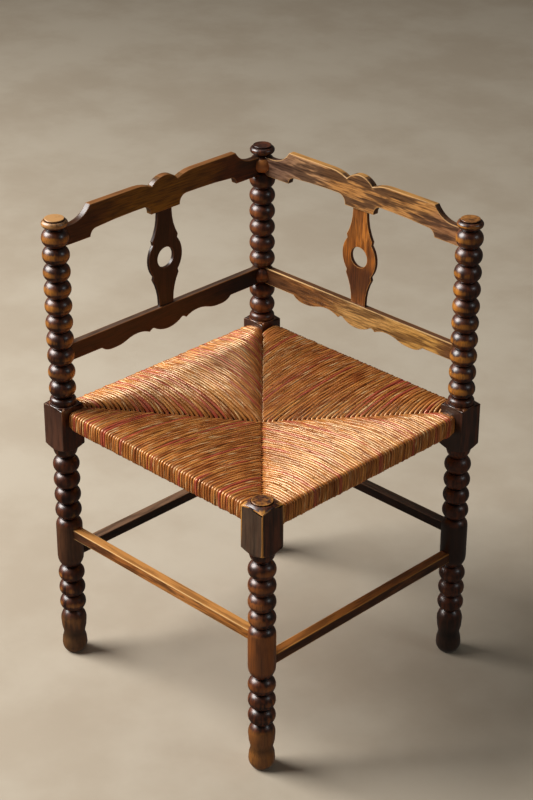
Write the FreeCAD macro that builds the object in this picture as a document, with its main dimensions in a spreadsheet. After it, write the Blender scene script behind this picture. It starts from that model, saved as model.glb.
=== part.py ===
"""Corner chair of bobbin-turned posts, shaped back rails, pierced splats and a rush seat.

The posts stand at the corners of a square. Going round it the corners are left, front, right and
back, and the sides between them are front_left, front_right, back_right and back_left. The two
sides that meet at the back post carry the backs. Millimetres, +Z up, the floor at Z = 0.
"""
import FreeCAD
import Part
import Sketcher
import math
import os
from types import SimpleNamespace

Vector = FreeCAD.Vector
SEAM_SLANT = math.sqrt(2)  # a seam runs at 45 degrees to its rail

SIZES = {
    # plan of the chair
    "post_spacing": 443.0,
    # posts, from the floor up
    "block_side": 44.0,
    "bead_radius": 21.5,
    "bead_pitch": 28.36,
    "bead_band": 8.0,
    "neck_radius": 12.3,
    "curve_chords": 2,
    "base_radius": 14.5,
    "foot_radius": 20.8,
    "foot_bulge_height": 16.0,
    "foot_height": 36.8,
    "waist_radius": 17.2,
    "vase_radius": 21.2,
    "vase_wide_height": 27.1,
    "vase_height": 45.2,
    "ankle_beads": 3,
    "plain_length": 91.8,
    "plain_foot_shoulder": 20.0,
    "shin_beads": 4,
    "cup_radius": 21.0,
    "cup_height": 14.0,
    "block_shoulder": 9.4,
    "shoulder_rise": 10.7,
    "block_length": 72.9,
    "crown_drop": 4.3,
    "crown_ring_drop": 1.5,
    "seat_bead_foot_radius": 17.8,
    "seat_bead_foot": 2.7,
    "seat_bead_radius": 20.2,
    "seat_bead_band": 3.6,
    "seat_bead_height": 10.0,
    "button_drop": 3.9,
    "button_rise": 2.9,
    "button_height": 2.1,
    "back_beads": 10,
    "cap_radius": 21.7,
    "cap_under": 8.6,
    "cap_over": 6.0,
    "disc_foot_radius": 17.2,
    "disc_radius": 16.2,
    "disc_height": 3.1,
    "disc_groove": 0.8,
    "disc_edge": 0.5,
    "cutter_past": 12.0,
    # joints between pieces
    "joint_gap": 0.1,
    "seat_gap": 0.3,
    "housing_reach": 10.5,
    "tenon_past": 5.0,
    "tenon_root": 6.0,
    # crest rails
    "crest_thickness": 11.5,
    "crest_drop": 3.4,
    "crest_end_height": 32.0,
    "crest_end_flat": 28.0,
    "crest_sweep": 38.5,
    "crest_shoulder_rise": 21.6,
    "crest_dip_start": 62.0,
    "crest_dip_drop": 7.6,
    "crest_dome_half": 27.4,
    "crest_dome_radius": 36.0,
    "crest_lug": 65.5,
    "crest_cove_radius": 12.5,
    "crest_arch_half": 67.5,
    "crest_arch_rise": 3.5,
    "lobe_half": 31.0,
    "lobe_cove": 14.2,
    "rail_tenon": 6.0,
    "tenon_shoulder": 4.0,
    # lower back rails
    "back_rail_thickness": 12.0,
    "back_rail_rise": 1.2,
    "back_rail_end_height": 29.0,
    "back_rail_end_length": 79.5,
    "back_rail_belly": 8.5,
    "back_rail_belly_in": 121.0,
    "back_rail_ogee_out": 112.0,
    "back_rail_ogee_in": 66.5,
    "back_rail_hollow": 8.6,
    "back_rail_tip": 40.0,
    "back_rail_tip_drop": 6.8,
    "back_rail_cusp": 31.0,
    "back_rail_cusp_drop": 2.7,
    "back_rail_cusp_radius": 9.0,
    "back_rail_lobe_drop": 12.8,
    # splats
    "splat_thickness": 6.0,
    "splat_neck": 15.0,
    "splat_neck_length": 4.0,
    "splat_tip_half": 27.4,
    "splat_tip_height": 33.5,
    "splat_notch_half": 25.8,
    "splat_notch_height": 27.5,
    "splat_bulb_half": 35.7,
    "splat_hole_radius": 17.5,
    "splat_tenon": 10.0,
    # stretchers
    "stretcher_side": 16.5,
    "stretcher_housing": 13.0,
    "stretcher_tenon": 9.0,
    "stretcher_low": 24.0,
    "stretcher_step": 44.0,
    # seat rails and the rush round them
    "seat_top": 63.9,
    "rush_proud": 10.5,
    "rush_thickness": 6.2,
    "rush_round": 10.0,
    "wrap_height": 37.0,
    "wrap_step": 5.0,
    "seat_sag": 27.0,
    "seat_centre_depth": 16.0,
    "seam_gap": 0.4,
    "seat_rail_width": 20.0,
    "seat_rail_round": 4.0,
    "seat_tenon": 10.0,
    "seat_tenon_inset": 3.0,
    "seat_tenon_shoulder": 4.0,
}


class Size:
    """A number worked out from cells of the sheet, with the expression that says how."""

    def __init__(self, number, text):
        self.number = number
        self.text = text

    def __add__(self, other):
        other = as_size(other)
        return Size(self.number + other.number, f"({self.text} + {other.text})")

    def __radd__(self, other):
        return as_size(other) + self

    def __sub__(self, other):
        other = as_size(other)
        return Size(self.number - other.number, f"({self.text} - {other.text})")

    def __rsub__(self, other):
        return as_size(other) - self

    def __mul__(self, other):
        other = as_size(other)
        return Size(self.number * other.number, f"({self.text} * {other.text})")

    def __rmul__(self, other):
        return as_size(other) * self

    def __truediv__(self, other):
        other = as_size(other)
        return Size(self.number / other.number, f"({self.text} / {other.text})")

    def __neg__(self):
        return Size(-self.number, f"(-1 * {self.text})")


def as_size(value):
    if isinstance(value, Size):
        return value
    return Size(float(value), f"({float(value)})")


doc = FreeCAD.newDocument("CornerChair")
sheet = doc.addObject("Spreadsheet::Sheet", "Sizes")
for row, (word, number) in enumerate(SIZES.items(), start=1):
    sheet.set(f"A{row}", word)
    sheet.set(f"B{row}", str(number))
    sheet.setAlias(f"B{row}", word)
doc.recompute()
S = SimpleNamespace(**{word: Size(float(sheet.get(word)), f"Sizes.{word}") for word in SIZES})

# heights that several pieces share, stacked from the floor
half = S.post_spacing / 2
pitch = S.bead_pitch
vase_top = S.foot_height + S.vase_height
plain_low = vase_top + S.ankle_beads * pitch
plain_top = plain_low + S.plain_length
shin_top = plain_top + S.shin_beads * pitch
block_low = shin_top + S.cup_height + S.shoulder_rise
block_top = block_low + S.block_length
back_low = block_top + S.seat_bead_height
back_top = back_low + S.back_beads * pitch
cap_wide = back_top + S.cap_under
disc_foot = cap_wide + S.cap_over
post_top = disc_foot + S.disc_height
button_foot = block_top + S.button_rise
crest_low = back_top - pitch - S.crest_drop
back_rail_top = back_low + 3 * pitch + S.back_rail_rise
back_rail_low = back_rail_top - S.back_rail_end_height
seat_top = block_low + S.seat_top
seat_centre = seat_top - S.seat_sag
stretcher_low = plain_low + S.stretcher_low
stretcher_high = stretcher_low + S.stretcher_step

# quarter turns of the sides, and of the corner post that each side starts from
SIDES = {"front_left": 0, "front_right": 90, "back_right": 180, "back_left": 270}
CORNERS = {"left": 0, "front": 90, "right": 180, "back": 270}
HIGH_SIDES = ("front_left", "back_right")
BACK_SIDES = ("back_right", "back_left")
NEXT_SIDE = {"left": "front_left", "front": "front_right", "right": "back_right", "back": "back_left"}
PREVIOUS_SIDE = {"left": "back_left", "front": "front_left", "right": "front_right", "back": "back_right"}


def arc_radius(run, rise):
    """Radius of the arc that starts level and rises this much over this run."""
    return (run * run + rise * rise) / (2 * rise)


def origin_feature(body, role):
    return next(item for item in body.Origin.OriginFeatures if item.Role == role)


def new_body(label):
    body = doc.addObject("PartDesign::Body", label)
    body.Label = label
    return body


def bind(thing, path, size):
    thing.setExpression(path, as_size(size).text)


def place(thing, turn, across, inward):
    """Turn a piece about Z and put its origin at (across, inward) of the turned frame."""
    cosine = round(math.cos(math.radians(turn)))
    sine = round(math.sin(math.radians(turn)))
    across = as_size(across)
    inward = as_size(inward)
    thing.Placement = FreeCAD.Placement(Vector(), FreeCAD.Rotation(Vector(0, 0, 1), turn))
    bind(thing, "Placement.Base.x", cosine * across - sine * inward)
    bind(thing, "Placement.Base.y", sine * across + cosine * inward)


def arc_between(start, end, radius):
    """The short arc from start to end. A positive radius turns left, a negative one right."""
    chord = end - start
    left = Vector(-chord.y, chord.x, 0).normalize()
    rise = math.sqrt(radius * radius - chord.Length * chord.Length / 4)
    turn = 1 if radius > 0 else -1
    centre = (start + end) / 2 + left * (rise * turn)
    first, last = (start, end) if turn > 0 else (end, start)
    angles = [math.atan2(point.y - centre.y, point.x - centre.x) for point in (first, last)]
    circle = Part.Circle(centre, Vector(0, 0, 1), abs(radius))
    return Part.ArcOfCircle(circle, angles[0], angles[1])


def outline(body, name, plane, corners, offset=None):
    """Sketch a closed outline whose corners and arcs are bound to the sheet.

    A corner is (across, up) where a line leaves it, or (across, up, radius) where an arc does.
    """
    sketch = body.newObject("Sketcher::SketchObject", name)
    sketch.AttachmentSupport = [(origin_feature(body, plane), "")]
    sketch.MapMode = "FlatFace"
    if offset is not None:
        bind(sketch, "AttachmentOffset.Base.z", offset)
    corners = [tuple(as_size(value) for value in corner) for corner in corners]
    points = [Vector(corner[0].number, corner[1].number, 0) for corner in corners]
    geometry, ends, radii = [], [], {}
    for index, corner in enumerate(corners):
        start, end = points[index], points[(index + 1) % len(points)]
        if len(corner) == 3:
            geometry.append(arc_between(start, end, corner[2].number))
            ends.append((1, 2) if corner[2].number > 0 else (2, 1))
            radii[index] = corner[2] if corner[2].number > 0 else -corner[2]
        else:
            geometry.append(Part.LineSegment(start, end))
            ends.append((1, 2))
    sketch.addGeometry(geometry, False)
    rules, sizes = [], []
    for index, corner in enumerate(corners):
        following = (index + 1) % len(corners)
        rules.append(Sketcher.Constraint("Coincident", index, ends[index][1], following, ends[following][0]))
        for kind, axis, size in (("DistanceX", -2, corner[0]), ("DistanceY", -1, corner[1])):
            if abs(size.number) < 1e-9:
                rules.append(Sketcher.Constraint("PointOnObject", index, ends[index][0], axis))
                continue
            sizes.append((len(rules), size))
            rules.append(Sketcher.Constraint(kind, -1, 1, index, ends[index][0], size.number))
        if index in radii:
            sizes.append((len(rules), radii[index]))
            rules.append(Sketcher.Constraint("Radius", index, radii[index].number))
    sketch.addConstraint(rules)
    for number, size in sizes:
        bind(sketch, f"Constraints[{number}]", size)
    return sketch


def circle(body, name, plane, up, radius):
    """Sketch a circle whose middle lies this far up the plane's vertical axis."""
    sketch = body.newObject("Sketcher::SketchObject", name)
    sketch.AttachmentSupport = [(origin_feature(body, plane), "")]
    sketch.MapMode = "FlatFace"
    sketch.addGeometry(Part.Circle(Vector(0, up.number, 0), Vector(0, 0, 1), radius.number), False)
    sketch.addConstraint([
        Sketcher.Constraint("PointOnObject", 0, 3, -2),
        Sketcher.Constraint("DistanceY", -1, 1, 0, 3, up.number),
        Sketcher.Constraint("Radius", 0, radius.number),
    ])
    bind(sketch, "Constraints[1]", up)
    bind(sketch, "Constraints[2]", radius)
    return sketch


def box_corners(low, high, bottom, top):
    return [(low, bottom), (high, bottom), (high, top), (low, top)]


def rounded_corners(low, high, bottom, top, radius):
    return [
        (low + radius, bottom), (high - radius, bottom, radius),
        (high, bottom + radius), (high, top - radius, radius),
        (high - radius, top), (low + radius, top, radius),
        (low, top - radius), (low, bottom + radius, radius),
    ]


def whole(right_half, closing=()):
    """Close an outline, walked from the middle of its foot up its right side, with its mirror image.

    closing holds the radius of the arc across the foot, where that is an arc.
    """
    left_half = []
    for index in reversed(range(len(right_half))):
        across, up = right_half[index][:2]
        arc = right_half[index - 1][2:] if index > 0 else closing
        left_half.append((-as_size(across), up) + tuple(arc))
    return right_half + left_half


def pad(body, name, sketch, length, both_ways=False):
    feature = body.newObject("PartDesign::Pad", name)
    feature.Profile = sketch
    feature.Midplane = both_ways
    bind(feature, "Length", length)
    sketch.Visibility = False
    return feature


def pocket(body, name, sketch, length, backwards=False, both_ways=False):
    """Cut along the sketch's back, or with backwards the way that its normal points."""
    feature = body.newObject("PartDesign::Pocket", name)
    feature.Profile = sketch
    feature.Midplane = both_ways
    feature.Reversed = backwards
    bind(feature, "Length", length)
    return feature


def groove(body, name, sketch):
    feature = body.newObject("PartDesign::Groove", name)
    feature.Profile = sketch
    feature.ReferenceAxis = (origin_feature(body, "Z_Axis"), [""])
    feature.Angle = 360
    return feature


def bow(level, far):
    """The inner points of a curve that leaves one end level with the post's side, as chords."""
    chords = int(S.curve_chords.number)
    points = []
    for number in range(1, chords):
        share = number / chords
        radius = level[0] + (far[0] - level[0]) * (share * share)
        points.append((radius, level[1] + (far[1] - level[1]) * share))
    return points


def curve(start, end, level_end=False):
    """A turned curve from start up to end, level with the post's side at one of them."""
    if level_end:
        return [start] + bow(end, start)[::-1]
    return [start] + bow(start, end)


def beads(low, count):
    """Turned beads one above the other, each a band between two cones that meet in the necks."""
    slope = (pitch - S.bead_band) / 2
    profile = []
    for number in range(int(count.number)):
        foot = low + number * pitch
        profile += [
            (S.neck_radius, foot),
            (S.bead_radius, foot + slope),
            (S.bead_radius, foot + slope + S.bead_band),
        ]
    return profile


def leg_turning():
    """Cutter for the post below its block: foot, vase, beads, plain length, beads, cup, shoulder."""
    clear = S.block_side / 2 * SEAM_SLANT + S.cutter_past
    below = -S.cutter_past
    foot = (S.base_radius, as_size(0))
    bulge = (S.foot_radius, S.foot_bulge_height)
    waist = (S.waist_radius, S.foot_height)
    widest = (S.vase_radius, S.foot_height + S.vase_wide_height)
    vase_neck = (S.neck_radius, vase_top)
    plain_neck = (S.neck_radius, plain_low)
    plain_foot = (S.bead_radius, plain_low + S.plain_foot_shoulder)
    plain_head = (S.bead_radius, plain_top - pitch / 2)
    shin_neck = (S.neck_radius, plain_top)
    cup_foot = (S.neck_radius, shin_top)
    cup_head = (S.cup_radius, shin_top + S.cup_height)
    shoulder_head = (S.block_side / 2 + S.block_shoulder, block_low)
    return (
        [(S.base_radius, below)]
        + curve(foot, bulge, level_end=True)
        + curve(bulge, waist)
        + curve(waist, widest, level_end=True)
        + curve(widest, vase_neck)
        + beads(vase_top, S.ankle_beads)
        + curve(plain_neck, plain_foot, level_end=True)
        + [plain_foot]
        + curve(plain_head, shin_neck)
        + beads(plain_top, S.shin_beads)
        + curve(cup_foot, cup_head, level_end=True)
        + [
            cup_head,
            shoulder_head,
            (clear, block_low),
            (clear, below),
        ]
    )


def crown_foot(drop):
    """Where a shallow cone takes the block's corners off, this far below its top."""
    return S.block_side / 2 + S.block_shoulder, block_top - drop


def disc(foot, height):
    """The proud flat disc that ends a post, with the groove round it and its eased edge."""
    return [
        (S.disc_foot_radius, foot),
        (S.disc_radius - S.disc_groove, foot - S.disc_groove / 2),
        (S.disc_radius, foot + S.disc_groove),
        (S.disc_radius, foot + height - S.disc_edge),
        (S.disc_radius - S.disc_edge, foot + height),
    ]


def above_disc(top, drop):
    """The rest of the cutter's outline, past the disc and down outside the block."""
    clear = S.block_side / 2 * SEAM_SLANT + S.cutter_past
    return [
        (S.disc_radius - S.disc_edge, top + S.cutter_past),
        (clear, top + S.cutter_past),
        (clear, block_top - drop),
    ]


def back_turning():
    """Cutter for the post above its block: crown, seat bead, beads, cap and disc."""
    cap_foot = (S.neck_radius, back_top)
    widest = (S.cap_radius, cap_wide)
    cap_head = (S.disc_foot_radius, disc_foot)
    ring = block_top - S.crown_ring_drop
    bead_low = ring + S.seat_bead_foot
    return (
        [
            crown_foot(S.crown_drop),
            (S.seat_bead_foot_radius, ring),
            (S.seat_bead_radius, bead_low),
            (S.seat_bead_radius, bead_low + S.seat_bead_band),
        ]
        + beads(back_low, S.back_beads)
        + curve(cap_foot, widest, level_end=True)
        + curve(widest, cap_head)
        + disc(disc_foot, S.disc_height)
        + above_disc(post_top, S.crown_drop)
    )


def button_turning():
    """Cutter for the front post, which ends above the seat in a flat button."""
    return (
        [crown_foot(S.button_drop)]
        + disc(button_foot, S.button_height)
        + above_disc(button_foot + S.button_height, S.button_drop)
    )


def mortise(body, name, toward, across, heights, start):
    """Cut a square hole from start, measured from the post's axis, out of the face at +X or +Y."""
    corners = box_corners(across[0] - S.joint_gap, across[1] + S.joint_gap,
                          heights[0] - S.joint_gap, heights[1] + S.joint_gap)
    start = as_size(start) - S.joint_gap
    if toward == "+X":
        sketch = outline(body, name + "_outline", "YZ_Plane", corners, start)
        return pocket(body, name, sketch, S.block_side * 2, backwards=True)
    sketch = outline(body, name + "_outline", "XZ_Plane", corners, -start)
    return pocket(body, name, sketch, S.block_side * 2)


def side_heights(side):
    """Heights of the stretcher and of the seat rail on a side. They differ where two sides meet."""
    high = side in HIGH_SIDES
    stretcher = stretcher_high if high else stretcher_low
    wrap = S.wrap_height - S.wrap_step if high else S.wrap_height
    wrap_low = seat_top - wrap
    rail_low = wrap_low + S.rush_thickness + S.seat_gap
    rail_top = seat_top - S.rush_thickness - S.seat_gap
    return SimpleNamespace(stretcher=stretcher, wrap_low=wrap_low, rail_low=rail_low, rail_top=rail_top)


def flat_rail_tenon(low, height):
    return low + S.tenon_shoulder, low + height - S.tenon_shoulder


def seat_tenon_heights(side):
    levels = side_heights(side)
    return levels.rail_low + S.seat_tenon_shoulder, levels.rail_top - S.seat_tenon_shoulder


def centred(width):
    return -width / 2, width / 2


def seat_tenon_across():
    return S.seat_tenon_inset - S.seat_tenon / 2, S.seat_tenon_inset + S.seat_tenon / 2


def cut_side_mortises(body, side, toward, mitred_back):
    """Mortises in a post for every piece of one side: stretcher, seat rail and back rails."""
    levels = side_heights(side)
    stretcher = (levels.stretcher - S.stretcher_side / 2, levels.stretcher + S.stretcher_side / 2)
    tenon = (levels.stretcher - S.stretcher_tenon / 2, levels.stretcher + S.stretcher_tenon / 2)
    tag = side + "_"
    mortise(body, tag + "stretcher_housing", toward, centred(S.stretcher_side), stretcher,
            S.stretcher_housing)
    mortise(body, tag + "stretcher_mortise", toward, centred(S.stretcher_tenon), tenon, -S.tenon_past)
    across = seat_tenon_across()
    mortise(body, tag + "seat_mortise", toward, across, seat_tenon_heights(side), across[0])
    if side not in BACK_SIDES:
        return
    start = -S.rail_tenon / 2 if mitred_back else -S.tenon_past
    for part, low, height, thickness in (
        ("crest", crest_low, S.crest_end_height, S.crest_thickness),
        ("back_rail", back_rail_low, S.back_rail_end_height, S.back_rail_thickness),
    ):
        mortise(body, tag + part + "_housing", toward, centred(thickness), (low, low + height),
                S.housing_reach)
        mortise(body, tag + part + "_mortise", toward, centred(S.rail_tenon),
                flat_rail_tenon(low, height), start)


def make_post(corner):
    """A square blank turned below and above its block, then mortised for its two sides."""
    body = new_body("post_" + corner)
    top = button_foot + S.button_height if corner == "front" else post_top
    blank = outline(body, "blank_outline", "XY_Plane",
                    box_corners(*centred(S.block_side), *centred(S.block_side)))
    pad(body, "blank", blank, top)
    groove(body, "leg_turning", outline(body, "leg_profile", "XZ_Plane", leg_turning()))
    upper = button_turning() if corner == "front" else back_turning()
    groove(body, "upper_turning", outline(body, "upper_profile", "XZ_Plane", upper))
    mitred = corner == "back"
    cut_side_mortises(body, NEXT_SIDE[corner], "+X", mitred)
    cut_side_mortises(body, PREVIOUS_SIDE[corner], "+Y", mitred)
    place(body, CORNERS[corner], -half, -half)
    return body


def end_tenon(body, name, end, across, heights, shoulder, reach, mitred):
    """A tenon on the end of a side's piece. A mitred one stops short of its neighbour's."""
    inside = shoulder - S.tenon_root
    if mitred:
        tips = [half - across[0] - S.joint_gap, half - across[1] - S.joint_gap]
    else:
        tips = [half + reach, half + reach]
    corners = [(inside, across[0]), (tips[0], across[0]), (tips[1], across[1]), (inside, across[1])]
    if end < 0:
        corners = [(-x, y) for x, y in reversed(corners)]
    sketch = outline(body, name + "_outline", "XY_Plane", corners, heights[0])
    pad(body, name, sketch, heights[1] - heights[0])


def is_mitred(side, end):
    """The back post is at the far end of back_right and at the near end of back_left."""
    return (side, end) in (("back_right", 1), ("back_left", -1))


def make_stretcher(side):
    body = new_body("stretcher_" + side)
    centre = side_heights(side).stretcher
    reach = half - S.stretcher_housing
    section = outline(body, "section", "YZ_Plane",
                      box_corners(*centred(S.stretcher_side), centre - S.stretcher_side / 2,
                                  centre + S.stretcher_side / 2))
    pad(body, "bar", section, 2 * reach, both_ways=True)
    heights = (centre - S.stretcher_tenon / 2, centre + S.stretcher_tenon / 2)
    for end in (-1, 1):
        name = "far_tenon" if end > 0 else "near_tenon"
        end_tenon(body, name, end, centred(S.stretcher_tenon), heights, reach, S.tenon_past, False)
    place(body, SIDES[side], 0, -half)
    return body


def make_seat_rail(side):
    """The hidden rail that the rush is wound on, mitred to its neighbours inside the blocks."""
    body = new_body("seat_rail_" + side)
    levels = side_heights(side)
    outer = S.rush_thickness + S.seat_gap - S.rush_proud
    reach = half - S.block_side / 2
    section = outline(body, "section", "YZ_Plane",
                      rounded_corners(outer, outer + S.seat_rail_width, levels.rail_low, levels.rail_top,
                                      S.seat_rail_round))
    pad(body, "bar", section, 2 * (reach - S.joint_gap), both_ways=True)
    for end in (-1, 1):
        name = "far_tenon" if end > 0 else "near_tenon"
        end_tenon(body, name, end, seat_tenon_across(), seat_tenon_heights(side), reach, 0, True)
    place(body, SIDES[side], 0, -half)
    return body


def crest_outline():
    """The crest rail: lugs, coves and a middle lobe below, swept shoulders and a dome above."""
    reach = half - S.housing_reach
    lug = half - S.crest_lug
    cove_in = lug - S.crest_cove_radius
    cove_top = crest_low + S.crest_cove_radius
    arch_top = cove_top + S.crest_arch_rise
    end_top = crest_low + S.crest_end_height
    end_flat = half - S.crest_end_flat
    shoulder = end_top + S.crest_shoulder_rise
    return whole([
        (S.lobe_half, crest_low, -arc_radius(S.lobe_cove, arch_top - crest_low)),
        (S.lobe_half + S.lobe_cove, arch_top),
        (S.crest_arch_half, arch_top, -arc_radius(cove_in - S.crest_arch_half, S.crest_arch_rise)),
        (cove_in, cove_top, -S.crest_cove_radius),
        (lug, crest_low),
        (reach, crest_low),
        (reach, end_top),
        (end_flat, end_top, -arc_radius(S.crest_sweep, S.crest_shoulder_rise)),
        (end_flat - S.crest_sweep, shoulder),
        (S.crest_dip_start, shoulder, arc_radius(S.crest_dip_start - S.crest_dome_half, S.crest_dip_drop)),
        (S.crest_dome_half, shoulder - S.crest_dip_drop, S.crest_dome_radius),
    ])


def back_rail_outline():
    """The lower back rail: a straight top edge over bellies, ogees, tips and a middle lobe."""
    reach = half - S.housing_reach
    belly = back_rail_low - S.back_rail_belly
    belly_out = half - S.back_rail_end_length
    belly_radius = arc_radius(belly_out - S.back_rail_belly_in, S.back_rail_belly)
    middle = (S.back_rail_ogee_out + S.back_rail_ogee_in) / 2
    rise = S.back_rail_hollow / 2
    ogee_radius = arc_radius(S.back_rail_ogee_out - middle, rise)
    hollow = belly + S.back_rail_hollow
    tip = back_rail_low - S.back_rail_tip_drop
    tip_radius = arc_radius(S.back_rail_ogee_in - S.back_rail_tip, hollow - tip)
    lobe_radius = arc_radius(S.back_rail_cusp, S.back_rail_lobe_drop - S.back_rail_cusp_drop)
    return whole([
        (S.back_rail_cusp, back_rail_low - S.back_rail_cusp_drop, -S.back_rail_cusp_radius),
        (S.back_rail_tip, tip, -tip_radius),
        (S.back_rail_ogee_in, hollow, -ogee_radius),
        (middle, belly + rise, ogee_radius),
        (S.back_rail_ogee_out, belly),
        (S.back_rail_belly_in, belly, belly_radius),
        (belly_out, back_rail_low),
        (reach, back_rail_low),
        (reach, back_rail_top),
    ], (lobe_radius,))


def splat_outline():
    """The splat: tenon, coved neck, tip, notch and round bulb, then the same upside down."""
    middle = (back_rail_top + crest_low) / 2
    neck = (crest_low - back_rail_top) / 2 - S.splat_neck_length
    cove = arc_radius(neck - S.splat_tip_height, S.splat_tip_half - S.splat_neck)
    bulb = arc_radius(S.splat_notch_height, S.splat_bulb_half - S.splat_notch_half)
    return whole([
        (S.splat_neck, back_rail_top - S.splat_tenon),
        (S.splat_neck, middle - neck, -cove),
        (S.splat_tip_half, middle - S.splat_tip_height),
        (S.splat_notch_half, middle - S.splat_notch_height, bulb),
        (S.splat_bulb_half, middle, bulb),
        (S.splat_notch_half, middle + S.splat_notch_height),
        (S.splat_tip_half, middle + S.splat_tip_height, -cove),
        (S.splat_neck, middle + neck),
        (S.splat_neck, crest_low + S.splat_tenon),
    ])


def splat_slot(body, name, bottom, upwards):
    """The mortise that takes a splat's tenon, in the lobe of a crest or the top of a lower rail."""
    across = S.splat_neck + S.joint_gap
    through = S.splat_thickness / 2 + S.joint_gap
    sketch = outline(body, name + "_outline", "XY_Plane",
                     box_corners(-across, across, -through, through), bottom)
    pocket(body, name, sketch, 2 * S.splat_tenon, backwards=upwards)


def make_back_rail(name, side, corners, low, height, thickness):
    body = new_body(name + side.split("_")[1])
    pad(body, "board", outline(body, "outline", "XZ_Plane", corners), thickness, both_ways=True)
    for end in (-1, 1):
        tenon = "far_tenon" if end > 0 else "near_tenon"
        end_tenon(body, tenon, end, centred(S.rail_tenon), flat_rail_tenon(low, height),
                  half - S.housing_reach, S.tenon_past, is_mitred(side, end))
    place(body, SIDES[side], 0, -half)
    return body


def make_crest(side):
    body = make_back_rail("crest_rail_", side, crest_outline(), crest_low, S.crest_end_height,
                          S.crest_thickness)
    splat_slot(body, "splat_slot", crest_low + S.splat_tenon + S.joint_gap, False)
    return body


def make_lower_back_rail(side):
    body = make_back_rail("lower_back_rail_", side, back_rail_outline(), back_rail_low,
                          S.back_rail_end_height, S.back_rail_thickness)
    splat_slot(body, "splat_slot", back_rail_top - S.splat_tenon - S.joint_gap, True)
    return body


def make_splat(side):
    body = new_body("splat_" + side.split("_")[1])
    board = outline(body, "outline", "XZ_Plane", splat_outline())
    pad(body, "board", board, S.splat_thickness, both_ways=True)
    middle = (back_rail_top + crest_low) / 2
    ring = circle(body, "hole_outline", "XZ_Plane", middle, S.splat_hole_radius)
    pocket(body, "round_hole", ring, 2 * S.splat_thickness, both_ways=True)
    place(body, SIDES[side], 0, -half)
    return body


def rail_faces():
    """How far inwards of the post axes a seat rail's outer and inner faces lie."""
    outer = S.rush_thickness + S.seat_gap - S.rush_proud
    return outer, outer + S.seat_rail_width


def seam_cut(body, name, back_off):
    """Trim a seat piece to the two diagonal seams that run from the blocks to the seat's middle."""
    far = half * 2
    corners = [(-far, half - far - back_off), (0, half - back_off), (far, half - far - back_off),
               (far, far), (-far, far)]
    pocket(body, name, outline(body, name + "_outline", "XY_Plane", corners), seat_top * 2, backwards=True)


def seat_wedge(label, side, start, inset):
    """The three-cornered space inside the rush of one side, smaller by inset on every face."""
    body = new_body(label)
    levels = side_heights(side)
    low = levels.wrap_low + inset
    centre_low = seat_centre - S.seat_centre_depth + inset
    crown = arc_radius(half - start, S.seat_sag)
    section = outline(body, "section", "YZ_Plane", [
        (start, low),
        (half, centre_low),
        (half, seat_centre - inset, crown),
        (start, seat_top - inset),
    ])
    pad(body, "filling", section, S.post_spacing - S.block_side - 2 * inset, both_ways=True)
    seam_cut(body, "seams", S.seam_gap + inset * SEAM_SLANT)
    return body


def make_rush(side):
    """One field of the rush seat: wound round its rail, over the stuffing and down at the seams."""
    levels = side_heights(side)
    body = new_body("rush_wrap_" + side)
    outer, inner = rail_faces()
    edge = S.rush_round - S.rush_proud
    section = outline(body, "section", "YZ_Plane", [
        (edge, levels.wrap_low),
        (half, seat_centre - S.seat_centre_depth),
        (half, seat_centre, arc_radius(half - edge, S.seat_sag)),
        (edge, seat_top, S.rush_round),
        (-S.rush_proud, seat_top - S.rush_round),
        (-S.rush_proud, levels.wrap_low + S.rush_round, S.rush_round),
    ])
    pad(body, "wrap", section, S.post_spacing - S.block_side - 2 * S.seat_gap, both_ways=True)
    seam_cut(body, "seams", S.seam_gap)
    channel = outline(body, "channel_outline", "YZ_Plane",
                      rounded_corners(outer - S.seat_gap, inner + S.seat_gap, levels.rail_low - S.seat_gap,
                                      levels.rail_top + S.seat_gap, S.seat_rail_round))
    pocket(body, "rail_channel", channel, S.post_spacing * 2, both_ways=True)
    hollow = seat_wedge("rush_hollow_" + side, side, inner, S.rush_thickness)
    field = doc.addObject("Part::Cut", "rush_" + side)
    field.Label = "rush_" + side
    field.Base = body
    field.Tool = hollow
    place(field, SIDES[side], 0, -half)
    return field


def make_stuffing(side):
    """The pad of loose rush packed between the upper and lower layers of one field."""
    inner = rail_faces()[1]
    body = seat_wedge("stuffing_" + side, side, inner + 2 * S.seat_gap, S.rush_thickness + S.seat_gap)
    place(body, SIDES[side], 0, -half)
    return body


def check_pieces(pieces):
    """Stop where a feature failed, a cut cut nothing, or a piece isn't one valid solid."""
    for item in doc.Objects:
        if "Invalid" in item.State or "Error" in item.State:
            raise RuntimeError(f"{item.Name} failed: {item.State}")
        if item.TypeId in ("PartDesign::Pocket", "PartDesign::Groove"):
            removed = item.BaseFeature.Shape.Volume - item.Shape.Volume
            if removed < 1:
                raise RuntimeError(f"{item.Name} in {item.getParent().Label} cuts nothing")
    for piece in pieces:
        shape = piece.Shape
        if shape.isNull() or not shape.isValid() or len(shape.Solids) != 1:
            raise RuntimeError(f"{piece.Label} isn't one valid solid")


pieces = [make_post(corner) for corner in CORNERS]
for side in SIDES:
    pieces.append(make_stretcher(side))
    pieces.append(make_seat_rail(side))
    pieces.append(make_rush(side))
    pieces.append(make_stuffing(side))
for side in BACK_SIDES:
    pieces.append(make_crest(side))
    pieces.append(make_lower_back_rail(side))
    pieces.append(make_splat(side))
doc.recompute()
check_pieces(pieces)

os.makedirs("parts", exist_ok=True)
for piece in pieces:
    piece.Shape.exportStep(f"parts/{piece.Label}.step")
    print(f"{piece.Label}: {piece.Shape.Volume / 1000:.1f} cm3")
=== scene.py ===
"""Looks of the corner chair: turned posts, shaped boards, square stretchers and the wound rush seat.

Metres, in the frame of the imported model. A side's own frame has X along the side and Y inwards,
and is turned by quarter turns about Z, as the sides of the chair are.
"""
import math
import random

import bpy
import numpy as np
from mathutils import Matrix, Vector


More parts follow.
